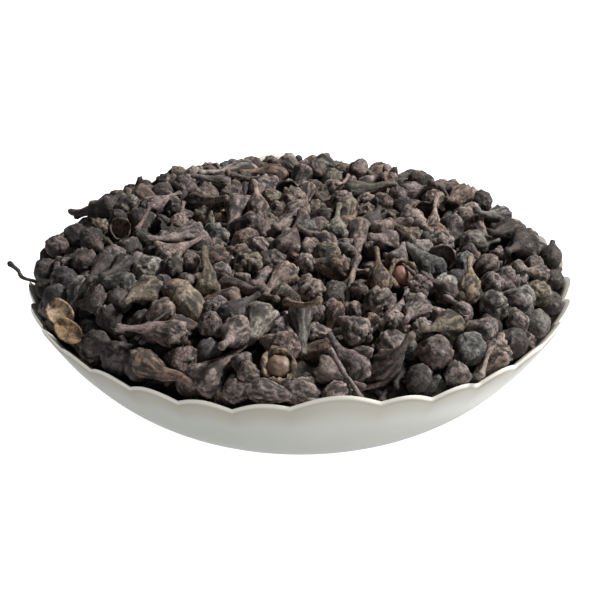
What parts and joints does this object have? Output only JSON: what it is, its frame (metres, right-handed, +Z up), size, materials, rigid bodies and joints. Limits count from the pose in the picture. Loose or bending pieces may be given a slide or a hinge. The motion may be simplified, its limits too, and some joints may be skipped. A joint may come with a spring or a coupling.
{
  "type": "bowl of dried nagkesar buds",
  "caption": "Shallow pale bowl with a scalloped rim, heaped above the rim with dark dried club-shaped flower buds on stalks.",
  "frame": {"origin": "centre of the bowl's flat base, on the surface it stands on", "axes": "+Z up; -Y is the side that faces the viewer in the picture; +X is the viewer's right"},
  "size_m": [0.1388, 0.1442, 0.0434],
  "materials": {
    "bowl": "pale grey-white glazed ceramic with a satin gloss",
    "buds": "matt dusty dried plant matter, near black to grey-brown"
  },
  "bodies": {
    "root": {"bowl": "bowl", "bud_heap": "buds"}
  },
  "joints": []
}
